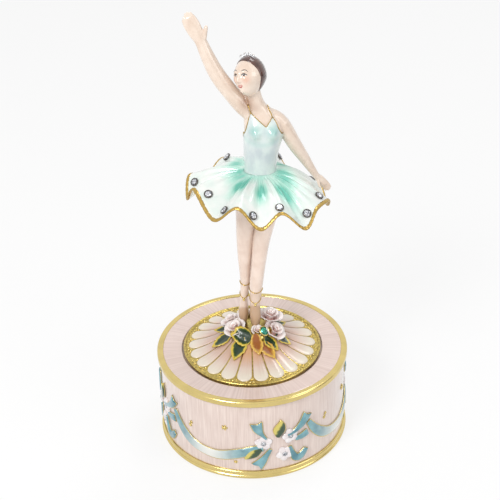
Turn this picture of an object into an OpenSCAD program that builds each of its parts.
// Musical jewellery box: an enamelled drum with a lift-off lid, a turntable of
// petals and a dancer that turns on it, driven by an 18-note movement.
// Millimetres. The origin is on the table, at the middle of the drum, and the
// front of the box faces -Y.

/* [Drum] */
// Outer radius of the gold base ring and of the lid band
band_r = 40; // [38:0.5:44]
// How far the enamelled wall stands in from the gold band
wall_inset = 1.2; // [0.8:0.1:2]
// Thickness of the drum wall
wall_t = 2.2; // [1.8:0.1:2.6]
// Height of the gold base ring
foot_ring_h = 3.8; // [3:0.1:4.6]
// Height of the drum from the table to its mouth
drum_h = 36.3; // [36:0.1:42]
// Width of the two ledges inside the wall
ledge_w = 1.6; // [1.2:0.1:2]
// Thickness of the two ledges
ledge_t = 1.2; // [0.8:0.1:1.6]
// Height of the recess under the base plate, which hides the key
recess_h = 6; // [5.6:0.1:7]
// Thickness of the base plate
base_plate_t = 1.2; // [1:0.1:1.6]

/* [Lid] */
// Height of the dark parting line under the lid band
seam_h = 0.4; // [0.2:0.1:0.8]
// Height of the gold lid band
lid_band_h = 2.8; // [2.2:0.1:3.6]
// Width of the gold rim seen from above
lid_rim_w = 2.6; // [2:0.1:3.4]
// How far the enamelled top lies below the gold rim
lid_sink = 0.2; // [0.1:0.05:0.5]
// Thickness of the lid under the turntable
lid_t = 1.4; // [1:0.1:1.8]
// Depth of the spigot that drops into the drum mouth
spigot_h = 2.8; // [2:0.1:3.4]
// Thickness of the spigot
spigot_t = 1.8; // [1.4:0.1:2.4]
// Radial clearance of the spigot in the drum mouth
lid_fit = 0.2; // [0.15:0.05:0.4]

/* [Turntable] */
// Radius of the turntable over its gold bead
table_r = 28.9; // [27.5:0.1:30]
// Dark gap between the turntable and the lid
table_gap = 0.6; // [0.4:0.1:1]
// Running gap under the turntable
run_gap = 0.4; // [0.3:0.05:0.6]
// Thickness of the turntable at its rim
table_t = 1.6; // [1.2:0.1:2]
// Radius of the round gold bead on the rim
bead_r = 0.55; // [0.4:0.05:0.7]
// Number of enamelled petals
petal_n = 22; // [16:1:28]
// Thickness of the enamel of a petal
petal_t = 0.45; // [0.3:0.05:0.6]
// Share of the pitch that a petal fills
petal_fill = 0.9; // [0.8:0.01:0.94]
// Rise of the dome from its rim to the mound
dome_rise = 7.2; // [6:0.1:8.5]
// Radius of the mound under the feet
mound_r = 9.5; // [8.5:0.1:10.5]
// Radius of the turntable shaft
table_shaft_r = 1.9; // [1.6:0.05:2.2]
// Radial running clearance of shafts in their bores
shaft_fit = 0.05; // [0.02:0.01:0.1]

/* [Movement] */
// Thickness of the bedplate
bed_t = 2; // [1.6:0.1:2.4]
// Outer radius of the spring barrel
barrel_r = 9; // [8.5:0.1:9.4]
// Height of the spring barrel above its toothed flange
barrel_h = 9.6; // [8.6:0.1:10]
// Teeth on the crown gear under the barrel
crown_teeth = 36; // [36:1:36]
// Teeth on the cylinder pinion
pinion_teeth = 9; // [9:1:9]
// Radius of the pinned cylinder
cylinder_r = 5.6; // [5.2:0.1:5.8]
// Room between the cylinder and the drum wall for the end gear and its bearing
end_room = 7.2; // [6.8:0.1:8.4]
// Height of the cylinder axis above the bedplate
axis_h = 8.8; // [8.8:0.1:9.4]
// Notes, each with its comb tooth and its row of pins
notes = 18; // [12:1:18]
// Length of the longest comb tooth
tooth_len = 9; // [8:0.1:9.5]
// Thickness of the comb at its root
comb_t = 1.1; // [0.9:0.1:1.4]
// Teeth on the large gear at the end of the cylinder
end_teeth = 40; // [40:1:40]
// Teeth on the governor pinion
gov_teeth = 8; // [8:1:8]
// Module of the fine gears
fine_m = 0.4; // [0.38:0.01:0.42]
// Teeth on the worm wheel
worm_wheel_teeth = 12; // [12:1:12]
// Radius of the air fan over its blades
fan_r = 4.6; // [4:0.1:5]

/* [Key] */
// Width of the key over its two wings
key_w = 17; // [14:0.5:20]
// Thickness of the key wings
key_t = 1.6; // [1.2:0.1:2]
// Gap between the key and the table
key_lift = 0.8; // [0.6:0.1:1.2]

/* [Garland] */
// How far the enamelled relief stands off the wall
relief = 1.1; // [0.7:0.05:1.2]
// Number of blossom clusters round the drum
clusters = 4; // [4:1:4]
// Direction of the first cluster, from the right-hand side
cluster_angle = -74.5; // [-90:0.5:-60]
// Radius of a blossom
blossom_r = 3.9; // [3.2:0.1:4.2]

/* [Dancer] */
// How far the middle of the waist lies off the turntable axis
waist_x = 4.8; // [4:0.1:5.5]
// Length of the legs from the toes to the hips
leg_l = 61; // [58:0.5:63]
// Height of the hips
hip_h = 10.4; // [10:0.1:11]
// Height of the upper body from the waist to the top of the neck
trunk_h = 35.4; // [34:0.1:37]
// Height of the head over its middle
head_h = 7.3; // [6.8:0.1:7.8]
// Thickness of the hair
hair_t = 0.4; // [0.3:0.05:0.7]
// Radius of the tutu from the waist to its hem
tutu_r = 29; // [27:0.5:30]
// Radius of the crystals on the tutu
tutu_gem_r = 1.6; // [1:0.1:1.8]
// Thickness of the tutu at its hem
tutu_t = 1.5; // [1.2:0.1:1.8]
// Half width of the opening in the tutu
waist_a = 6.6; // [6.5:0.1:7]
// Radius of the gold wire along the hem
hem_r = 0.55; // [0.4:0.05:0.7]
// How far the head looks up
head_pitch = 24; // [10:1:35]
// How far the head leans towards the raised arm
head_lean = 14; // [0:1:25]
// How far the head turns towards the raised arm
head_turn = 36; // [15:1:50]

/* [Hidden] */
$fn = 64;
eps = 0.01;
seat = 0.05;

// Drum, from the outside in and from the table up
wall_r = band_r - wall_inset;
bore_r = wall_r - wall_t;
plate_z = recess_h;
plate_top = plate_z + base_plate_t;
plate_fit = 0.1;
bed_z = plate_top;
bed_top = bed_z + bed_t;
lid_under = drum_h;
band_z = drum_h + seam_h;
band_top = band_z + lid_band_h;
enamel_r = band_r - lid_rim_w;
enamel_top = band_top - lid_sink;
spigot_r = bore_r - lid_fit;
spigot_z = drum_h - spigot_h;
pan_z = lid_under + lid_t;
flange_r = wall_r - 0.4;
screw_r = 1.5;
boss_r = 2.2;
boss_gap = 0.2;
boss_h = 3.8;
boss_angles = [60, 180, 300];
screw_ring = bore_r - ledge_w - 1.9;

// Turntable and its dome
pan_r = table_r + table_gap;
table_z = pan_z + run_gap;
table_top = table_z + table_t;
dome_r = table_r - 2.2 * bead_r;
mound_z = table_top + dome_rise;
mound_h = 3.2;
stage_z = mound_z + mound_h;
petal_in = mound_r + 2;
leaf_t = 0.6;
petal_out = dome_r - 1.1;
bush_r = 4;
bush_z = lid_under - 1;
coupler_r = 3.4;
coupler_top = bush_z - 0.3;
coupler_h = 3;
coupler_z = coupler_top - coupler_h;
slot_w = 1.5;
slot_h = 2;
tang_w = 1.2;
tang_gap = 0.3;

// Movement, with the barrel on the drum axis and the cylinder along +X
arbor_r = 1.3;
out_r = 1.4;
flange_z = bed_top + 3.2;
flange_t = 1.2;
barrel_z = flange_z + flange_t;
barrel_top = barrel_z + barrel_h;
bridge_z = barrel_top + 0.6;
bridge_t = 1.2;
crown_m = 0.611;
crown_mid = crown_teeth * crown_m / 2;
crown_w = 2;
crown_tooth = 1.05;
axis_z = bed_top + axis_h;
pinion_r = pinion_teeth * crown_m / 2;
crown_top = axis_z - pinion_r + 0.4;
crown_root = crown_top - crown_tooth;
cyl_arbor_r = 0.8;
bearing_x = crown_mid + crown_w / 2 + 0.6;
bearing_t = 1.4;
cyl_x = bearing_x + bearing_t + 0.4;
cyl_end = bore_r - end_room;
cylinder_len = cyl_end - cyl_x;
gear_x = cyl_end + 0.4;
gear_t = 1;
bearing2_x = gear_x + gear_t + 0.4;
end_r = end_teeth * fine_m / 2;
gov_r = gov_teeth * fine_m / 2;
gov_y = end_r + gov_r;
wheel_r = worm_wheel_teeth * fine_m / 2;
worm_r = 1;
worm_y = gov_y + wheel_r + worm_r;
wheel_x = gear_x - 4.4;
wheel_t = 1;
pin_h = 0.5;
pin_r = 0.16;
pins_per_note = 5;
barrel_wall = 0.8;
spring_t = 0.35;
bed_y = 18.4;
bed_screw_places = [[-9, 14], [-9, -14], [bearing2_x - 1.2, 9]];
post_r = 2;
post_places = [[-6.2, 13.2], [-6.2, -13.2]];
comb_x = cyl_x;
comb_w = cylinder_len;
comb_z = axis_z - comb_t / 2;
comb_front = -cylinder_r - pin_h - 0.15;
block_d = 2.8;
comb_back = comb_front - tooth_len - block_d;
comb_screw_r = 1.2;
comb_screw_places = [[comb_x + 0.25 * comb_w, comb_back + block_d / 2],
  [comb_x + 0.75 * comb_w, comb_back + block_d / 2]];
slot_share = 0.34;
gov_arbor_r = 0.5;
fan_arbor_r = 0.5;
worm_x = wheel_x + wheel_t / 2;
worm_z = axis_z - 3;
worm_h = 6;
worm_tip = worm_r + 0.7 * fine_m;
fan_h = 2.4;
ratchet_teeth = 12;
ratchet_root = 3.4;
ratchet_tip = 4.2;
ratchet_t = 1.2;
pawl_pin_r = 0.7;
pawl_at = [-7.4, 4.3];
pawl_tip = [-3.75, 0.14];
fan_z = axis_z + 4.2;
tray_floor = max(bridge_z + bridge_t + 1.4, axis_z + end_r + 0.9 * fine_m + 0.5);
tray_t = 0.8;
tray_r = bore_r - 0.2;
tray_wall = 1;
tray_tube_r = coupler_r + 0.7;
tray_tube_t = 0.9;
lining_t = 1.2;
tray_top = spigot_z - 0.4;
tray_ledge_z = tray_floor - ledge_t;

// Dancer: each station of a limb is [x, y, z, half width, half depth]. The legs are drawn
// for a length of 61 and the upper body for a height of 35.4, and stretch with theirs.
hip_z = stage_z + leg_l;
waist_z = hip_z + hip_h;
leg_scale = leg_l / 61;
body_scale = trunk_h / 35.4;
shoulder = [waist_x - 0.6, 0, waist_z - 0.7 * body_scale, 0, 0];
left_leg_form = [for (s = [[-3.2, 1.4, 0, 1.1, 1.2], [-3.2, 1.4, 0.8, 1.5, 1.6],
  [-3.5, 1.4, 5, 2.1, 2.3], [-3.6, 1.5, 12, 1.7, 1.8], [-2.6, 2.1, 20, 2.4, 2.5],
  [-2.7, 1.6, 32, 2.7, 2.8], [-2.1, 1, 42, 3.4, 3.5], [-0.5, 0.4, 57, 4, 4.5],
  [-0.5, 0.4, 61, 4, 4.6]]) [s[0], s[1], stage_z + leg_scale * s[2], s[3], s[4]]];
right_leg_form = [for (s = [[1.7, -1.6, 0, 1.2, 1.3], [1.7, -1.6, 0.8, 1.7, 1.8],
  [1.7, -1.6, 5, 2.3, 2.5], [1.8, -1.4, 12, 2.1, 2.2], [1.7, -1.9, 20, 3, 3.1],
  [3.3, -1.4, 32, 2.8, 2.9], [5.1, -0.8, 42, 3.4, 3.5], [8.4, -0.2, 57, 4.2, 4.6],
  [8.4, -0.2, 61, 4.2, 4.7]]) [s[0], s[1], stage_z + leg_scale * s[2], s[3], s[4]]];
raised_form = [for (s = [[-2.6, 0.2, 24.6, 2.6, 3], [-5.2, 0.1, 28.6, 3, 3],
  [-8.4, 0, 34, 2.9, 2.9], [-12.4, 0, 41.4, 2.6, 2.7], [-15.6, 0, 48.6, 2.2, 2.3],
  [-17.9, 0, 55.4, 1.6, 1.7], [-19.6, 0, 60, 2.6, 1.3], [-21.8, 0, 64.6, 2.4, 1],
  [-23.4, 0, 67, 0.9, 0.5]]) body_scale * s + shoulder];
thumb_form = [for (s = [[-18.4, -0.3, 57.6, 1, 0.8], [-17.3, -0.6, 60.4, 0.8, 0.7],
  [-17.6, -0.6, 62.6, 0.4, 0.4]]) body_scale * s + shoulder];
lowered_form = [for (s = [[9.4, 0.6, 21.4, 2.6, 3], [11.4, 0.8, 17, 2.9, 3],
  [14.4, 1.4, 11, 2.7, 2.7], [17.8, 2.4, 5, 2.2, 2.2], [22.4, 4, -3.4, 1.4, 1.5],
  [25.2, 5, -7, 1.9, 1.4], [28.6, 5.8, -11, 1.3, 0.9], [29.6, 6, -12.2, 0.5, 0.4]])
  body_scale * s + shoulder];
trunk_form = concat([[waist_x - 0.8, 0, hip_z, 8.3, 5.9], [waist_x - 0.8, 0, hip_z + 1, 8.4, 6]],
  [for (s = [[-0.4, 0, -5.5, 7.4, 5.6], [0, 0, -1, 6.1, 4.8], [0.2, 0, 2.6, 6, 4.7],
  [0.3, 0, 8, 6.9, 5.2], [0.9, -0.3, 13.4, 7.7, 5.5], [1.2, -0.3, 17, 7.9, 5.5],
  [1.2, -0.3, 20.2, 7.8, 5.3], [1, 0, 22.8, 7.2, 4.6], [0.2, 0.3, 25.6, 5.2, 3.4],
  [-1, 0.2, 28.2, 2.9, 2.8], [-2, 0, 31.4, 2.4, 2.5], [-2.8, -0.2, 35.4, 2.4, 2.4]])
  body_scale * s + [waist_x, 0, waist_z, 0, 0]]);
// The two cups of the bodice: [x, height over the waist]
cups = [[-1.6, 18.7], [5.5, 18.4]];
cup_push = 1.7;
// Edge of the dress seen from the front, and its height behind
neckline = [[-13, 15.4], [-6.6, 17.4], [-3, 26.2], [2.6, 21.4], [5.2, 24.8], [8.4, 17.4],
  [15, 15.4]];
back_edge = 15.4;
strap_forms = [[[-2.9, -3, 26], [-3.4, -2.9, 27.4], [-3.9, -2.3, 28.7]],
  [[5.1, -3.55, 24.6], [4.5, -3.35, 26], [3.7, -2.75, 27.3]]];
strap_r = 0.3;
head_at = [waist_x, 0, waist_z] + body_scale * [-3.2, -0.8, 40];

// Hem of the tutu, drawn for a radius of 29: [direction, radius, height over the waist]
hem_form = [[-178, 28.5, -10.5], [-160, 27, -2], [-128.5, 29, -8], [-109, 27.5, -1.5],
  [-91, 29, -9], [-73.5, 27, -4.2], [-56, 29.5, -11.8], [-40, 27.5, -7.2], [-17, 27.3, -8.8],
  [2, 26.2, -15.5], [24, 26.5, -12.5], [45, 27, -15], [64, 27.5, -12.5], [76, 28, -5.5],
  [90, 28.5, -5], [105, 29, -9], [122, 28.5, -6], [140, 28, -10.5], [163, 29, -5]];
hem_steps = 5;
hem_line = smooth_loop([for (h = hem_form) [waist_x, 0, waist_z] + tutu_r / 29
  * [h[1] * cos(h[0]), h[1] * sin(h[0]), h[2]]], hem_steps);
// The crystals on the tutu: [place along the hem in stations, share of the way to the hem]
tutu_gems = [[18.4, 0.86], [1.4, 0.84], [2.4, 0.88], [3.6, 0.9], [5, 0.91], [6.4, 0.9],
  [7.6, 0.9], [10.4, 0.9], [12.6, 0.92], [16.2, 0.74]];
gem_lift = 0.25;

// Hair, in angles from a pole at the back of the head
hair_axis = 58;
hairline = 104;
hair_rings = [1, 7, 13, 18, 22, 30, 46, 64, 82, 96, hairline];
hair_gap = 0.22;
bun_a = 20;
bun_h = 1.1;
loop_r = 0.75;
loop_wire = 0.22;

// Garland on the unrolled wall, per cluster: [direction, height, half width]
swag_path = [[-11, 15, 1], [-22, 14.2, 1.7], [-36, 11.6, 1.9], [-50, 11.8, 1.9],
  [-63, 14.8, 1.8], [-78, 19, 1]];
bow_paths = [
  [[-9, 19, 0.5], [-12.5, 23.4, 1.5], [-13.6, 26, 2.3], [-14, 28.4, 1.2]],
  [[4, 19, 0.5], [10, 21.6, 1.2], [15.4, 24.4, 1.9], [18.6, 27.2, 1]],
  [[-8, 13, 0.6], [-11.4, 9.8, 1.3], [-14.4, 6.6, 2.1], [-15.4, 5.4, 1.6]],
  [[6, 13.6, 0.6], [9.4, 9.6, 1.4], [13, 7, 1.9], [17.6, 8.2, 0.9]]];
leaf_paths = [
  [[-1, 21.4, 0.4], [0, 24, 2.1], [0.6, 26.6, 1.5], [0.8, 28.8, 0.2]],
  [[-14.6, 16.6, 0.4], [-17.4, 14.4, 2], [-19.4, 12.6, 1.6], [-21.6, 11.4, 0.2]]];
blossom_places = [[-10.2, 18], [6.4, 19.6], [2.7, 11]];
crystal_seat = 0.4 * relief;
stud_places = [[-56.7, 22.2], [-33.4, 25.1], [-27.1, 8.1], [32.5, 20.6]];

// The roses on the mound: [direction, distance, height, tilt, size]
rose_places = [[-12, 8.8, 0.6, 34, 1], [14, 9, 3.4, 8, 1.08], [-64, 7.8, 2.6, 22, 0.62],
  [158, 8.8, 1.6, 26, 1], [100, 8.6, 1, 30, 0.9], [52, 8.8, 0.2, 34, 0.8]];
// The leaves on the mound: [direction, distance, length, turn]
leaf_places = [[-112, 8.2, 8.6, 8], [-92, 7, 6.8, -24], [-44, 8.6, 7.6, 12],
  [-152, 9.4, 7, 10], [-178, 9.8, 6, -14], [24, 10.6, 6.4, 10], [76, 9.6, 6.4, -8],
  [128, 9.8, 6.6, 12]];
crystal_place = [-42, 9.1, 1.6];
crystal_r = 1.35;

gold = "goldenrod";
brass = "darkgoldenrod";
steel = "lightsteelblue";
pink = "rosybrown";
skin_tone = "bisque";

// Points that follow a rule

function unit(v) = v / norm(v);
function polar(r, a, z) = [r * cos(a), r * sin(a), z];
function mix(a, b, t) = a + (b - a) * t;

// Catmull-Rom curve from b to c
function spline(a, b, c, d, t) = 0.5 * (2 * b + (c - a) * t
  + (2 * a - 5 * b + 4 * c - d) * t * t + (3 * b - a - 3 * c + d) * t * t * t);

// The stations with steps more between each pair
function smooth(s, steps) = let (last = len(s) - 1) concat(
  [for (i = [0:last - 1], j = [0:steps - 1])
    spline(s[max(i - 1, 0)], s[i], s[i + 1], s[min(i + 2, last)], j / steps)],
  [s[last]]);

// The same round a closed loop
function smooth_loop(s, steps) = let (n = len(s))
  [for (i = [0:n - 1], j = [0:steps - 1])
    spline(s[(i + n - 1) % n], s[i], s[(i + 1) % n], s[(i + 2) % n], j / steps)];

function point(station) = [station[0], station[1], station[2]];

// Oval cross-sections, square to the line through the stations, or level at level ends
function ovals(s, sides, level) = let (last = len(s) - 1)
  [for (i = [0:last])
    let (d = level && (i == 0 || i == last) ? [0, 0, 1]
        : unit(point(s[min(i + 1, last)]) - point(s[max(i - 1, 0)])),
      u = unit(cross([0, 1, 0], d)), v = cross(d, u))
    [for (k = [0:sides - 1])
      point(s[i]) + s[i][3] * cos(360 * k / sides) * u
      + s[i][4] * sin(360 * k / sides) * v]];

function middle(ring) = let (n = len(ring))
  [for (c = [0:2]) [for (p = ring) p[c]] * [for (p = ring) 1] / n];

// Radius of the head in direction u, where -y is the face and z the crown
function head_radius(u) = let (
    jaw = max(-u[2], 0),
    a = 0.753 * head_h * (1 - 0.34 * jaw),
    b = 0.89 * head_h * (1 - 0.1 * jaw),
    nose = u - unit([0, -1, -0.18]))
  1 / sqrt(pow(u[0] / a, 2) + pow(u[1] / b, 2) + pow(u[2] / head_h, 2))
  + 0.12 * head_h * exp(-pow(nose[0] / 0.13, 2) - pow(nose[2] / 0.2, 2)) * (u[1] < 0 ? 1 : 0);

// Height of the dome over the turntable at radius r
function dome_z(r) = let (t = (dome_r - r) / (dome_r - mound_r))
  table_top + dome_rise * (0.25 * t + 0.75 * t * t);

// Shared modules

// A closed body over rings of the same number of points
module skin(rings) {
  n = len(rings);
  m = len(rings[0]);
  points = concat([for (r = rings, p = r) p], [middle(rings[0]), middle(rings[n - 1])]);
  sides = [for (i = [0:n - 2], k = [0:m - 1]) let (a = i * m + k, b = i * m + (k + 1) % m)
    each [[a, a + m, b + m], [a, b + m, b]]];
  ends = [for (k = [0:m - 1]) let (j = (k + 1) % m, top = (n - 1) * m)
    each [[n * m, k, j], [n * m + 1, top + j, top + k]]];
  polyhedron(points = points, faces = concat(sides, ends), convexity = 6);
}

// A closed ring of cross-sections, such as a wire or a skirt
module loop_skin(rings) {
  n = len(rings);
  m = len(rings[0]);
  points = [for (r = rings, p = r) p];
  faces = [for (i = [0:n - 1], k = [0:m - 1])
    let (a = i * m + k, b = i * m + (k + 1) % m, step = ((i + 1) % n - i) * m)
    each [[a, a + step, b + step], [a, b + step, b]]];
  polyhedron(points = points, faces = faces, convexity = 8);
}

module limb(stations, steps = 3, sides = 14, level = false) {
  skin(ovals(smooth(stations, steps), sides, level));
}

// Turns the children from +Z to a direction
module facing(d) {
  rotate([0, acos(d[2] / norm(d)), atan2(d[1], d[0])]) children();
}

module ring(outer, inner, h) {
  difference() {
    cylinder(r = outer, h = h);
    translate([0, 0, -eps]) cylinder(r = inner, h = h + 2 * eps);
  }
}

// A band of enamel that lies on the wall along a path of [direction, height, half width]
module wall_band(path, thick = relief, turn = 0, steps = 3, wider = 0, deeper = 0) {
  s = smooth(path, steps);
  last = len(s) - 1;
  per_degree = wall_r * PI / 180;
  skin([for (i = [0:last])
    let (d = unit([(s[min(i + 1, last)][0] - s[max(i - 1, 0)][0]) * per_degree,
        s[min(i + 1, last)][1] - s[max(i - 1, 0)][1]]), w = s[i][2] + wider)
    [for (q = [[-w, 0], [0, 0], [w, 0], [0.75 * w, 0.75], [0, 1], [-0.75 * w, 0.75]])
      polar(wall_r + seat - deeper + q[1] * (thick + deeper), turn + s[i][0] - q[0] * d[1] / per_degree,
        s[i][1] + q[0] * d[0])]]);
}

// Places a flat outline on the wall and gives it the wall's curve behind
module on_wall(a, z, thick) {
  intersection() {
    rotate([0, 0, a]) translate([wall_r - 2, 0, z]) rotate([90, 0, 90])
      linear_extrude(height = 2 + thick) children();
    ring(wall_r + thick, wall_r, drum_h);
  }
}

// A spur gear along +Z with plain tapered teeth
module gear(teeth, m, h, bore) {
  root = teeth * m / 2 - 1.1 * m;
  tip = teeth * m / 2 + 0.9 * m;
  difference() {
    linear_extrude(height = h) union() {
      circle(r = root + 0.1 * m);
      for (i = [0:teeth - 1]) rotate([0, 0, 360 * i / teeth])
        polygon([[root, -0.62 * m], [tip, -0.26 * m], [tip, 0.26 * m], [root, 0.62 * m]]);
    }
    translate([0, 0, -eps]) cylinder(r = bore, h = h + 2 * eps);
  }
}

// A slotted screw with its head up
module screw(r, head_h, length) {
  difference() {
    union() {
      cylinder(r = r, h = head_h);
      translate([0, 0, -length]) cylinder(r = 0.55 * r, h = length);
    }
    translate([-r, -0.15 * r, 0.5 * head_h]) cube([2 * r, 0.3 * r, head_h]);
  }
}

// Drum

module base_ring() {
  color(gold) rotate_extrude() polygon(concat(
    [[bore_r, foot_ring_h], [bore_r, 1.2], [bore_r + 1.2, 0], [band_r - 0.9, 0]],
    [for (a = [-60:30:60]) [band_r - 0.9 + 0.9 * cos(a), 0.9 + 0.9 * sin(a)]],
    [[band_r - 0.3, foot_ring_h - 1], [band_r - 0.9, foot_ring_h]]));
}

module drum_shell() {
  ledge_r = bore_r - ledge_w;
  color(pink) difference() {
    union() {
      rotate_extrude() polygon(concat([[bore_r, foot_ring_h], [wall_r, foot_ring_h],
        [wall_r, drum_h], [bore_r, drum_h]],
        [for (z = [tray_ledge_z, plate_top])
          each [[bore_r, z + ledge_t], [ledge_r, z + ledge_t], [ledge_r, z], [bore_r, z]]]));
      for (a = boss_angles) rotate([0, 0, a])
        translate([screw_ring - boss_r, -boss_r, plate_top + boss_gap])
          cube([bore_r + wall_t / 2 - screw_ring + boss_r, 2 * boss_r, boss_h]);
    }
    for (a = boss_angles) rotate([0, 0, a]) translate([screw_ring, 0, plate_top - eps])
      cylinder(r = 0.55 * screw_r, h = boss_h - boss_gap);
  }
}

// Leaves the children clear of the blossoms
module round_blossoms() {
  difference() {
    children();
    for (i = [0:clusters - 1], p = blossom_places)
      rotate([0, 0, cluster_angle + 360 * i / clusters + p[0]]) translate([wall_r - 1, 0, p[1]])
        rotate([0, 90, 0]) cylinder(r = blossom_r + 0.1, h = 3);
  }
}

module swag_ribbons() {
  color("cadetblue") round_blossoms() for (i = [0:clusters - 1]) difference() {
    wall_band(swag_path, 0.8 * relief, cluster_angle + 360 * i / clusters);
    wall_band(leaf_paths[1], 3 * relief, cluster_angle + 360 * i / clusters, 3, 0.3, 0.5);
  }
}

module bow_ribbons() {
  color("steelblue") round_blossoms() for (i = [0:clusters - 1], path = bow_paths)
    wall_band(path, relief, cluster_angle + 360 * i / clusters, 2);
}

module garland_leaves() {
  color("darkgreen") round_blossoms() for (i = [0:clusters - 1], path = leaf_paths)
    wall_band(path, relief, cluster_angle + 360 * i / clusters);
}

// One ring of a blossom: five lobes of radius r, at a height over the wall
function blossom_ring(place, r, height) = [for (k = [0:19])
  let (a = 18 * k, lobe = r * [0.72, 0.95, 1, 0.95][k % 4])
  polar(wall_r + seat + height, cluster_angle + place[0] + lobe * sin(a) * 180 / PI / wall_r,
    place[1] + lobe * cos(a))];

// Five cupped petals round a well for the crystal
module blossoms() {
  color("snow") for (i = [0:clusters - 1], p = blossom_places)
    rotate([0, 0, 360 * i / clusters]) skin([
      blossom_ring(p, 0.35 * blossom_r, 0), blossom_ring(p, blossom_r, 0),
      blossom_ring(p, blossom_r, 0.5 * relief), blossom_ring(p, 0.68 * blossom_r, relief),
      blossom_ring(p, 0.36 * blossom_r, crystal_seat)]);
}

module blossom_crystals() {
  foot = wall_r + 2 * seat + crystal_seat;
  color("white") for (i = [0:clusters - 1], p = blossom_places)
    rotate([0, 0, cluster_angle + 360 * i / clusters + p[0]])
      translate([foot, 0, p[1]]) rotate([0, 90, 0])
        cylinder(r1 = 0.24 * blossom_r, r2 = 0.16 * blossom_r, h = band_r - foot - seat);
}

module gold_studs() {
  color(gold) for (i = [0:clusters - 1], p = stud_places)
    on_wall(cluster_angle + 360 * i / clusters + p[0], p[1], 0.5) circle(r = 0.65);
}

module base_plate() {
  color(brass) difference() {
    translate([0, 0, plate_z]) cylinder(r = bore_r - plate_fit, h = base_plate_t);
    translate([0, 0, plate_z - 1]) cylinder(r = arbor_r + 0.5, h = 4);
    for (a = boss_angles) rotate([0, 0, a]) translate([screw_ring, 0, plate_z - 1])
      cylinder(r = 0.55 * screw_r + plate_fit, h = 4);
    for (a = [0:30:330]) rotate([0, 0, a + 15])
      translate([0.72 * bore_r, 0, plate_z - 1]) cylinder(r = 1.2, h = 4);
    for (p = bed_screw_places) translate([p[0], p[1], plate_z - 1])
      cylinder(r = 0.55 * screw_r + plate_fit, h = 4);
  }
}

module base_screws() {
  color(steel) for (a = boss_angles) rotate([0, 0, a])
    translate([screw_ring, 0, plate_z]) rotate([180, 0, 0]) screw(screw_r, 0.9, 3.6);
}

// Movement

// What stands on the bedplate stays inside this radius
module bed_limit() {
  cylinder(r = bore_r - ledge_w - 0.3, h = drum_h);
}

module bedplate() {
  color(brass) difference() {
    intersection() {
      union() {
        translate([-13, -bed_y, bed_z]) cube([46, 2 * bed_y, bed_t]);
        translate([comb_x, comb_back, bed_z]) cube([comb_w, block_d, comb_z - bed_z]);
        for (p = post_places) translate([p[0], p[1], bed_z])
          cylinder(r = post_r, h = bridge_z - bed_z);
        translate([pawl_at[0], pawl_at[1], bed_z])
          cylinder(r = pawl_pin_r, h = bed_t + 0.3 + ratchet_t + 0.3);
      }
      bed_limit();
    }
    translate([0, 0, bed_z - 1]) cylinder(r = arbor_r + shaft_fit, h = bed_t + 2);
    for (p = bed_screw_places) translate([p[0], p[1], bed_z - 1])
      cylinder(r = 0.55 * screw_r, h = bed_t + 2);
    for (p = comb_screw_places) translate([p[0], p[1], comb_z - 4])
      cylinder(r = 0.55 * comb_screw_r, h = 5);
    for (p = post_places) translate([p[0], p[1], bridge_z - 4])
      cylinder(r = 0.55 * screw_r, h = 5);
  }
}

module bed_screws() {
  color(steel) for (p = bed_screw_places) translate([p[0], p[1], plate_z])
    rotate([180, 0, 0]) screw(screw_r, 0.9, base_plate_t + bed_t - 0.2);
}

// The click that stops the mainspring from turning the key back
module click_pawl() {
  color(steel) translate([0, 0, bed_top + 0.3]) difference() {
    linear_extrude(height = ratchet_t) union() {
      translate(pawl_at) circle(r = 2 * pawl_pin_r);
      polygon([pawl_tip, pawl_at + 1.7 * pawl_pin_r * [0.75, 0.66],
        pawl_at - 1.7 * pawl_pin_r * [0.75, 0.66]]);
    }
    translate([pawl_at[0], pawl_at[1], -eps])
      cylinder(r = pawl_pin_r + shaft_fit, h = ratchet_t + 2 * eps);
  }
}

module barrel_bridge() {
  color(brass) translate([0, 0, bridge_z]) difference() {
    linear_extrude(height = bridge_t) union() {
      circle(r = out_r + 2.4);
      for (p = post_places) {
        translate(p) circle(r = post_r);
        rotate([0, 0, atan2(p[1], p[0])]) translate([0, -post_r]) square([norm(p), 2 * post_r]);
      }
    }
    translate([0, 0, -eps]) cylinder(r = out_r + shaft_fit, h = bridge_t + 2 * eps);
    for (p = post_places) translate([p[0], p[1], -eps])
      cylinder(r = 0.55 * screw_r, h = bridge_t + 2 * eps);
  }
}

module bridge_screws() {
  color(steel) for (p = post_places) translate([p[0], p[1], bridge_z + bridge_t])
    screw(screw_r, 0.8, bridge_t + 3);
}

// The steel comb: the slots run deeper towards the bass end
module comb() {
  pitch = comb_w / notes;
  color(steel) translate([comb_x, 0, comb_z]) difference() {
    linear_extrude(height = comb_t) difference() {
      translate([0, comb_back]) square([comb_w, comb_front - comb_back]);
      for (i = [0:notes]) translate([i * pitch - 0.5 * slot_share * pitch,
          comb_front - mix(tooth_len, 0.65 * tooth_len, i / notes)])
        square([slot_share * pitch, tooth_len + 1]);
    }
    for (p = comb_screw_places) translate([p[0] - comb_x, p[1], -eps])
      cylinder(r = 0.55 * comb_screw_r, h = comb_t + 2 * eps);
  }
}

module comb_screws() {
  color(steel) for (p = comb_screw_places) translate([p[0], p[1], comb_z + comb_t])
    screw(comb_screw_r, 0.8, comb_t + 3);
}

// Two uprights that carry the cylinder, the outer one the governor wheel as well
module bearing_blocks() {
  color(brass) difference() {
    union() {
      translate([bearing_x, -2.4, bed_top]) cube([bearing_t, 4.8, axis_h + 2.4]);
      translate([bearing2_x, -3, bed_top]) cube([bearing_t, gov_y + 4.8, axis_h + 2]);
    }
    translate([0, 0, axis_z]) rotate([0, 90, 0])
      cylinder(r = cyl_arbor_r + shaft_fit, h = band_r);
    translate([gear_x, gov_y, axis_z]) rotate([0, 90, 0])
      cylinder(r = gov_arbor_r + shaft_fit, h = 10);
  }
}

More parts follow.
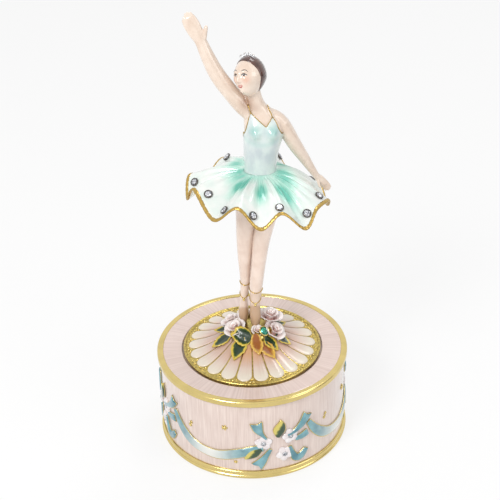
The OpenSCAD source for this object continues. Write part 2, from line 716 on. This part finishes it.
module governor_frame() {
  wall_y = worm_y + fan_r + 0.5;
  cheek_x = wheel_x - 2.6;
  arm_x = worm_x - 1.5;
  color(brass) difference() {
    union() {
      translate([cheek_x, wall_y, bed_top]) cube([6.2, 1.2, tray_floor - 0.6 - bed_top]);
      translate([cheek_x, worm_y - 1, bed_top]) cube([6.2, wall_y - worm_y + 1.5, 1.4]);
      translate([arm_x, worm_y - 1.4, tray_floor - 1.8])
        cube([3, wall_y - worm_y + 1.9, 1.2]);
      translate([arm_x, worm_y - 1.4, worm_z - 1.6]) cube([3, wall_y - worm_y + 1.9, 1.2]);
      translate([cheek_x, gov_y - 1.6, axis_z - 1.6]) cube([1.2, wall_y - gov_y + 2, 3.2]);
    }
    translate([worm_x, worm_y, bed_top + 1.5]) cylinder(r = fan_arbor_r + shaft_fit, h = 20);
    translate([cheek_x - 1, gov_y, axis_z]) rotate([0, 90, 0])
      cylinder(r = gov_arbor_r + shaft_fit, h = 3);
  }
}

// Key and its arbor

module winding_key() {
  color(gold) difference() {
    union() {
      translate([0, 0, key_lift]) cylinder(r = 2.6, h = recess_h - 0.5 - key_lift);
      for (s = [-1, 1]) translate([s * (key_w / 2 - 2.1), key_t / 2, key_lift + 2.1])
        rotate([90, 0, 0]) cylinder(r = 2.1, h = key_t);
      translate([-key_w / 2 + 2.1, -key_t / 2, key_lift + 0.6])
        cube([key_w - 4.2, key_t, 3]);
    }
    translate([0, 0, key_lift + 1.4]) cylinder(r = arbor_r, h = recess_h);
  }
}

module winding_arbor() {
  color(steel) translate([0, 0, key_lift + 1.4])
    cylinder(r = arbor_r, h = barrel_top - 1.4 - key_lift - 1.4);
}

module ratchet_wheel() {
  color(steel) translate([0, 0, bed_top + 0.3]) difference() {
    linear_extrude(height = ratchet_t) union() {
      circle(r = ratchet_root + 0.1);
      for (a = [0:360 / ratchet_teeth:359]) polygon([[0, 0], ratchet_root * [cos(a), sin(a)],
        ratchet_tip * [cos(a + 3), sin(a + 3)],
        ratchet_root * [cos(a + 28), sin(a + 28)]]);
    }
    translate([0, 0, -eps]) cylinder(r = arbor_r, h = ratchet_t + 2 * eps);
  }
}

// Spring barrel and what turns with it

module spring_barrel() {
  color(brass) union() {
    rotate_extrude() polygon([[arbor_r + shaft_fit, flange_z], [crown_mid + crown_w / 2, flange_z],
      [crown_mid + crown_w / 2, crown_root], [crown_mid - crown_w / 2, crown_root],
      [crown_mid - crown_w / 2 - 0.4, barrel_z], [barrel_r, barrel_z],
      [barrel_r, barrel_top - 0.4], [barrel_r - 0.4, barrel_top], [0, barrel_top],
      [0, barrel_top - barrel_wall], [barrel_r - barrel_wall, barrel_top - barrel_wall],
      [barrel_r - barrel_wall, barrel_z], [arbor_r + shaft_fit, barrel_z]]);
    translate([0, 0, crown_root - eps]) linear_extrude(height = crown_tooth + eps)
      for (a = [0:360 / crown_teeth:359]) rotate([0, 0, a])
        polygon([[crown_mid - crown_w / 2, -0.3], [crown_mid + crown_w / 2, -0.35],
          [crown_mid + crown_w / 2, 0.35], [crown_mid - crown_w / 2, 0.3]]);
  }
}

// The mainspring: one flat strip coiled between the arbor and the barrel wall
module mainspring() {
  turns = 5;
  inner = arbor_r + 0.25;
  outer = barrel_r - barrel_wall - 0.15;
  color("dimgray") translate([0, 0, barrel_z + 0.4])
    linear_extrude(height = barrel_h - barrel_wall - 0.8) polygon(concat(
      [for (i = [0:turns * 16]) let (a = i * 22.5, r = mix(inner, outer, i / turns / 16))
        (r + spring_t / 2) * [cos(a), sin(a)]],
      [for (i = [turns * 16:-1:0]) let (a = i * 22.5, r = mix(inner, outer, i / turns / 16))
        (r - spring_t / 2) * [cos(a), sin(a)]]));
}

// The output shaft on top of the barrel ends in a flat tang
module output_shaft() {
  tang_z = coupler_z - tang_gap;
  color(steel) translate([0, 0, barrel_top]) union() {
    cylinder(r = 3, h = 0.4);
    cylinder(r = out_r, h = tang_z - barrel_top);
    intersection() {
      cylinder(r = out_r, h = coupler_z + slot_h - tang_gap - barrel_top);
      translate([-out_r, -tang_w / 2, 0]) cube([2 * out_r, tang_w, drum_h]);
    }
  }
}

// Cylinder with its pins, which pluck the comb

module pinned_cylinder() {
  pitch = cylinder_len / notes;
  color(gold) translate([cyl_x, 0, axis_z]) rotate([0, 90, 0]) union() {
    difference() {
      cylinder(r = cylinder_r, h = cylinder_len);
      translate([0, 0, 1]) cylinder(r = cylinder_r - 0.8, h = cylinder_len - 2);
      translate([0, 0, -eps]) cylinder(r = cyl_arbor_r, h = cylinder_len + 2 * eps);
    }
    for (i = [0:notes - 1], k = [0:pins_per_note - 1])
      rotate([0, 0, 360 / pins_per_note * k + 47 * i + 13 * (i * k % 3) + 12])
        translate([cylinder_r - 0.3, 0, (i + 0.5) * pitch]) rotate([0, 90, 0])
          cylinder(r = pin_r, h = pin_h + 0.3, $fn = 6);
  }
}

module cylinder_arbor() {
  start = crown_mid - crown_w / 2 - 0.3;
  color(steel) translate([start, 0, axis_z]) rotate([0, 90, 0])
    cylinder(r = cyl_arbor_r, h = bearing2_x + bearing_t + 0.3 - start);
}

module cylinder_pinion() {
  color(gold) translate([crown_mid - crown_w / 2, 0, axis_z]) rotate([0, 90, 0])
    rotate([0, 0, 180 / pinion_teeth]) gear(pinion_teeth, crown_m, crown_w, cyl_arbor_r);
}

module end_gear() {
  color(gold) translate([gear_x, 0, axis_z]) rotate([0, 90, 0])
    gear(end_teeth, fine_m, gear_t, cyl_arbor_r);
}

// Governor

module governor_wheel() {
  color(gold) union() {
    translate([gear_x, gov_y, axis_z]) rotate([0, 90, 0])
      rotate([0, 0, 180 / gov_teeth]) gear(gov_teeth, fine_m, gear_t, gov_arbor_r / 2);
    translate([wheel_x, gov_y, axis_z]) rotate([0, 90, 0])
      gear(worm_wheel_teeth, fine_m, wheel_t, gov_arbor_r / 2);
    translate([wheel_x - 2.4, gov_y, axis_z]) rotate([0, 90, 0])
      cylinder(r = gov_arbor_r, h = bearing2_x + bearing_t + 0.2 - wheel_x + 2.4);
  }
}

// The vertical worm: two threads round a thin arbor
module governor_worm() {
  lead = 2 * PI * fine_m;
  phase = -90 - 360 * (axis_z - worm_z + lead / 4) / lead;
  slices = 40;
  color(steel) translate([worm_x, worm_y, 0]) union() {
    translate([0, 0, worm_z - 1.8]) cylinder(r = fan_arbor_r, h = tray_floor - 0.5 - worm_z + 1.8);
    skin([for (i = [0:slices]) [for (k = [0:7])
      let (a = 45 * k, r = k % 4 == 0 ? worm_tip : fan_arbor_r + 0.05)
      polar(r, a + phase + 360 * worm_h * i / slices / lead, worm_z + worm_h * i / slices)]]);
  }
}

module air_fan() {
  color("silver") translate([worm_x, worm_y, fan_z]) difference() {
    union() {
      cylinder(r = 1.3, h = fan_h);
      for (a = [0:90:270]) rotate([0, 0, a + 45]) translate([0, -0.15, 0])
        cube([fan_r, 0.3, fan_h]);
    }
    translate([0, 0, -eps]) cylinder(r = fan_arbor_r, h = fan_h + 2 * eps);
  }
}

// Ring tray over the movement

module ring_tray() {
  color(brass) rotate_extrude() polygon([[tray_tube_r, tray_floor], [tray_r, tray_floor],
    [tray_r, tray_top], [tray_r - tray_wall, tray_top],
    [tray_r - tray_wall, tray_floor + tray_t],
    [tray_tube_r + tray_tube_t, tray_floor + tray_t],
    [tray_tube_r + tray_tube_t, coupler_top - 0.6], [tray_tube_r, coupler_top - 0.6]]);
}

module tray_lining() {
  color("mistyrose") translate([0, 0, tray_floor + tray_t])
    ring(tray_r - tray_wall, tray_tube_r + tray_tube_t, lining_t);
}

// Lid

module lid_plate() {
  color(pink) rotate_extrude() polygon([[bush_r - 1, lid_under], [bush_r - 1, pan_z],
    [pan_r, pan_z], [pan_r, enamel_top], [enamel_r, enamel_top], [enamel_r, band_z],
    [flange_r, band_z], [flange_r, drum_h], [spigot_r, drum_h], [spigot_r, spigot_z],
    [spigot_r - spigot_t, spigot_z], [spigot_r - spigot_t, lid_under]]);
}

module lid_rim() {
  round_r = 0.7;
  color(gold) rotate_extrude() polygon(concat([[enamel_r, band_z]],
    [for (a = [-90:30:0]) [band_r - round_r + round_r * cos(a),
      band_z + round_r + round_r * sin(a)]],
    [for (a = [0:30:90]) [band_r - round_r + round_r * cos(a),
      band_top - round_r + round_r * sin(a)]], [[enamel_r, band_top]]));
}

module turntable_bush() {
  color(brass) rotate_extrude() polygon([[table_shaft_r + shaft_fit, bush_z],
    [bush_r - 1, bush_z], [bush_r - 1, pan_z], [bush_r, pan_z], [bush_r, table_z],
    [table_shaft_r + shaft_fit, table_z]]);
}

// Turntable

dome_line = [for (i = [0:8]) let (r = mix(dome_r, mound_r, i / 8)) [r, dome_z(r)]];
mound_line = [for (a = [15:25:90]) [mound_r - 3.4 + 3.4 * cos(a),
  mound_z + mound_h * sin(a)]];

module turntable_disc() {
  hub = bush_r + 0.4;
  cavity = [for (p = dome_line) if (p[1] - 1.6 > table_z + 0.3) [p[0], p[1] - 1.6]];
  color(gold) rotate_extrude() polygon(concat([[0, table_z], [hub, table_z],
      [hub, mound_z - 1.6]],
    [for (i = [len(cavity) - 1:-1:0]) cavity[i]], [[cavity[0][0], table_z]],
    [[table_r - bead_r, table_z]],
    [for (a = [-60:30:150]) [table_r - bead_r + bead_r * cos(a), table_top + bead_r * sin(a)]],
    dome_line, mound_line, [[0, stage_z]]));
}

// The room that the disc and what lies on it take up, for seating the flowers
module seat_form() {
  cover = petal_t + leaf_t + seat;
  union() {
    rotate_extrude() polygon(concat([[0, table_z], [dome_r, table_z]], dome_line, mound_line,
      [[0, stage_z]]));
    rotate_extrude() polygon(concat([[petal_in - 1, table_z], [dome_r, table_z]],
      [for (p = dome_line) if (p[0] > petal_in - 1) p + [0, cover]],
      [[petal_in - 1, dome_z(petal_in - 1) + cover]]));
  }
}

// A curved sheet over the dome, from low to high above it
module dome_sheet(low, high) {
  rotate_extrude() polygon(concat([for (p = dome_line) p + [0, low]],
    [for (i = [len(dome_line) - 1:-1:0]) dome_line[i] + [0, high]]));
}

module petals() {
  half = 180 / petal_n * petal_fill;
  tip_c = petal_out / (1 + sin(half));
  color("mistyrose") intersection() {
    dome_sheet(0, petal_t);
    translate([0, 0, table_z]) linear_extrude(height = 20)
      for (i = [0:petal_n - 1]) rotate([0, 0, -90 + (i + 0.5) * 360 / petal_n]) union() {
        polygon([petal_in * [cos(half), -sin(half)], tip_c * cos(half) * [cos(half), -sin(half)],
          tip_c * cos(half) * [cos(half), sin(half)], petal_in * [cos(half), sin(half)]]);
        translate([tip_c, 0]) circle(r = tip_c * sin(half));
      }
  }
}

module turntable_shaft() {
  color(steel) translate([0, 0, coupler_top - 0.8])
    cylinder(r = table_shaft_r, h = table_z - coupler_top + 0.8);
}

// The coupler under the lid drops over the tang when the lid is put on
module drive_coupler() {
  color(brass) difference() {
    translate([0, 0, coupler_z]) cylinder(r = coupler_r, h = coupler_h);
    translate([0, 0, coupler_top - 0.8]) cylinder(r = table_shaft_r, h = 2);
    translate([-coupler_r, -slot_w / 2, coupler_z - eps])
      cube([2 * coupler_r, slot_w, slot_h + eps]);
  }
}

// A rose of size s: an open heart in two rows of cupped petals
module rose(s) {
  scale(s) union() {
    translate([0, 0, -2]) cylinder(r = 1.6, h = 3);
    translate([0, 0, 1]) cylinder(r1 = 1.6, r2 = 0.9, h = 2);
    for (i = [0:1:2]) rotate([0, 0, 120 * i]) rotate_extrude(angle = 104)
      translate([0, -0.4 * i]) polygon([[1.5, -1], [1.9, -1], [2.6, 1.6], [2.5, 3.6], [2.1, 3.6],
        [2.1, 1.8], [1.5, 0]]);
    for (i = [0:1:3]) rotate([0, 0, 90 * i + 40]) rotate_extrude(angle = 78)
      translate([0, -0.2 * i]) polygon([[1.5, -1.4], [2.4, -1.2], [3.7, 0.8], [4.4, 2.6], [4, 2.7],
        [3.2, 1.2], [2, -0.4], [1.5, -0.6]]);
  }
}

// The cut crystal of the mound, or its seat when it is drawn wider
module crystal_form(wider = 0) {
  rotate([0, 0, crystal_place[0]]) translate([crystal_place[1], 0, mound_z + crystal_place[2]])
    rotate([0, 35, 0]) union() {
      translate([0, 0, -1.6]) cylinder(r = crystal_r + wider, h = 1.6 + wider);
      cylinder(r1 = crystal_r + wider, r2 = 0.6 * crystal_r + wider, h = 0.5 * crystal_r + wider);
    }
}

module mound_roses() {
  color("lavenderblush") difference() {
    for (p = rose_places) rotate([0, 0, p[0]]) translate([p[1], 0, mound_z + p[2]])
      rotate([0, p[3], 0]) rose(p[4]);
    seat_form();
    crystal_form(0.08);
  }
}

// A leaf of length l along +X with a toothed edge
module leaf_outline(l) {
  n = 6;
  edge = [for (i = [0:n]) let (t = i / n, w = 0.34 * l * sin(180 * pow(t, 0.75)))
    each [[l * t, w + 0.05], [l * (t - 0.03), w + (i > 0 && i < n ? 0.35 : 0.05)]]];
  polygon(concat(edge, [for (i = [len(edge) - 1:-1:0]) [edge[i][0], -edge[i][1]]]));
}

module mound_leaves() {
  color("darkgreen") intersection() {
    dome_sheet(petal_t, petal_t + leaf_t);
    translate([0, 0, table_z]) linear_extrude(height = 20) difference() {
      union() for (p = leaf_places) rotate([0, 0, p[0]]) translate([petal_in - 0.3, 0])
        rotate([0, 0, p[3]]) leaf_outline(p[2]);
      circle(r = petal_in + 0.1);
    }
  }
}

module green_crystal() {
  color("seagreen") difference() {
    crystal_form();
    seat_form();
  }
}

// Dancer

module left_leg() {
  color(skin_tone) limb(left_leg_form, level = true);
}

module right_leg() {
  color(skin_tone) limb(right_leg_form, level = true);
}

// Gold ribbon round each ankle, above and below
module ankle_ribbons() {
  color(gold) for (form = [left_leg_form, right_leg_form], at = [3, 2]) {
    c = form[at];
    translate([c[0], c[1], c[2]]) ring(max(c[3], c[4]) + 0.4, max(c[3], c[4]) + 0.08, 0.5);
  }
}

// Cross-section of the tutu towards one point of the hem
function tutu_section(p) = let (
    d = unit([p[0] - waist_x, p[1], 0]),
    in = [waist_x, 0, waist_z] + [d[0] * waist_a, d[1] * (waist_a - 1.2), 0],
    top = [for (t = [0, 0.25, 0.5, 0.75, 1]) [mix(in[0], p[0], t), mix(in[1], p[1], t),
      mix(in[2], p[2], pow(t, 1.4)) + 1.2 * sin(180 * t)]],
    thick = [1, 1.2, 1.3, tutu_t, tutu_t])
  concat(top, [for (i = [4:-1:0]) top[i] - [0, 0, thick[i]]]);

module tutu() {
  color("honeydew") loop_skin([for (p = hem_line) tutu_section(p)]);
}

// Gold wire along the hem
module tutu_hem() {
  n = len(hem_line);
  gap = hem_r + seat;
  color(gold) loop_skin([for (i = [0:n - 1])
    let (d = unit([hem_line[i][0] - waist_x, hem_line[i][1], 0]),
      c = hem_line[i] + gap * d - [0, 0, tutu_t / 2])
    [for (k = [0:5]) c + hem_r * (cos(60 * k) * d + [0, 0, sin(60 * k)])]]);
}

// Point of the skirt at station i of the hem, a share t of the way out
function skirt(i, t) = let (n = len(hem_line), at = tutu_section(hem_line[(i + n) % n]),
    k = min(floor(4 * t), 3))
  mix(at[k], at[k + 1], 4 * t - k);

// Cut crystals that lie on the slope of the skirt
module tutu_crystals() {
  color("slategray") for (g = tutu_gems) {
    i = round(g[0] * hem_steps);
    hemward = skirt(i + 1, g[1]) - skirt(i - 1, g[1]);
    outward = skirt(i, g[1] + 0.06) - skirt(i, g[1] - 0.06);
    n = unit(cross(outward, hemward));
    translate(skirt(i, g[1]) + gem_lift * n) facing(n)
      cylinder(r1 = tutu_gem_r, r2 = 0.6 * tutu_gem_r, h = 0.5 * tutu_gem_r);
  }
}

// How far a point of the trunk stands out over the two cups
function cup_lift(q) = q[1] > 0 ? 0 : cup_push * max([for (c = cups)
  exp(-pow((q[0] - waist_x - body_scale * c[0]) / 2.3, 2)
    - pow((q[2] - waist_z - body_scale * c[1]) / 2.5, 2))]);

// The trunk from the hips to the top of the neck
module trunk() {
  skin([for (r = ovals(smooth(trunk_form, 3), 22, true)) [for (q = r) q - [0, cup_lift(q), 0]]]);
}

// Everything above the edge of the dress
module over_dress() {
  translate([waist_x, 0, waist_z]) union() {
    translate([0, eps, 0]) rotate([90, 0, 0]) linear_extrude(height = 20)
      polygon(concat(body_scale * neckline, [[15, trunk_h + 5], [-13, trunk_h + 5]]));
    translate([-13, 0, body_scale * back_edge]) cube([28, 20, trunk_h]);
  }
}

module bodice() {
  color("powderblue") difference() {
    trunk();
    over_dress();
  }
}

module torso() {
  color(skin_tone) intersection() {
    trunk();
    over_dress();
  }
}

module straps() {
  color(gold) for (f = strap_forms)
    limb([for (q = f) concat(body_scale * q + [waist_x, 0, waist_z], [strap_r, strap_r])], 3, 6);
}

module raised_arm() {
  color(skin_tone) union() {
    limb(raised_form);
    limb(thumb_form, 2, 8);
  }
}

module lowered_arm() {
  color(skin_tone) limb(lowered_form);
}

// Turns the children to the tilt of the head
module head_frame() {
  translate(head_at) rotate([0, 0, -head_turn]) rotate([0, -head_lean, 0])
    rotate([-head_pitch, 0, 0]) children();
}

module head() {
  n = 14;
  color(skin_tone) head_frame() skin([for (i = [0:n]) let (e = mix(-88, 88, i / n))
    [for (k = [0:21]) let (u = [cos(e) * cos(k * 360 / 22), cos(e) * sin(k * 360 / 22), sin(e)])
      head_radius(u) * u]]);
}

// One ring of the hair, a degrees from its pole and lift above the head
function hair_ring(a, lift) = [for (k = [0:19])
  let (u = [sin(a) * cos(-18 * k), sin(a) * sin(-18 * k), cos(a)],
    w = [u[0], cos(hair_axis) * u[1] + sin(hair_axis) * u[2],
      -sin(hair_axis) * u[1] + cos(hair_axis) * u[2]])
  (head_radius(w) + lift) * u];

// Height of the hair over the head, a degrees from its pole
function hair_lift(a) = hair_gap + 0.1 + hair_t * (1 - pow(a / hairline, 5));

// The hair: a shell over the back of the head, thin at the hairline, with a flat bun
module hair() {
  n = len(hair_rings);
  color("saddlebrown") head_frame() rotate([-hair_axis, 0, 0]) skin(concat(
    [for (a = hair_rings) hair_ring(a, hair_lift(a)
      + (a < bun_a ? bun_h * sqrt(1 - pow(a / bun_a, 2)) : 0))],
    [for (i = [n - 1:-1:0]) hair_ring(hair_rings[i], hair_gap)]));
}

// A row of loops with a bead on each, on the hair over the forehead
module tiara() {
  color("silver") head_frame() for (a = [-40:20:40]) {
    u = unit([sin(a), -0.2, cos(a)]);
    from_pole = acos(u * [0, sin(hair_axis), cos(hair_axis)]);
    far = head_radius(u) + hair_lift(from_pole) + loop_r + loop_wire + seat;
    rotate([0, a, 0]) translate([0, -0.2 * far, 0.98 * far]) rotate([90, 0, 0]) union() {
      rotate_extrude() translate([loop_r, 0]) circle(r = loop_wire);
      translate([0, loop_r + loop_wire, 0]) sphere(r = 0.32);
    }
  }
}

base_ring();
drum_shell();
swag_ribbons();
bow_ribbons();
garland_leaves();
blossoms();
blossom_crystals();
gold_studs();
base_plate();
base_screws();
bedplate();
bed_screws();
click_pawl();
barrel_bridge();
bridge_screws();
comb();
comb_screws();
bearing_blocks();
governor_frame();
ring_tray();
tray_lining();
winding_key();
winding_arbor();
ratchet_wheel();
spring_barrel();
mainspring();
output_shaft();
pinned_cylinder();
cylinder_arbor();
cylinder_pinion();
end_gear();
governor_wheel();
governor_worm();
air_fan();
lid_plate();
lid_rim();
turntable_bush();
turntable_disc();
petals();
turntable_shaft();
drive_coupler();
mound_roses();
mound_leaves();
green_crystal();
left_leg();
right_leg();
ankle_ribbons();
tutu();
tutu_hem();
tutu_crystals();
bodice();
torso();
straps();
raised_arm();
lowered_arm();
head();
hair();
tiara();
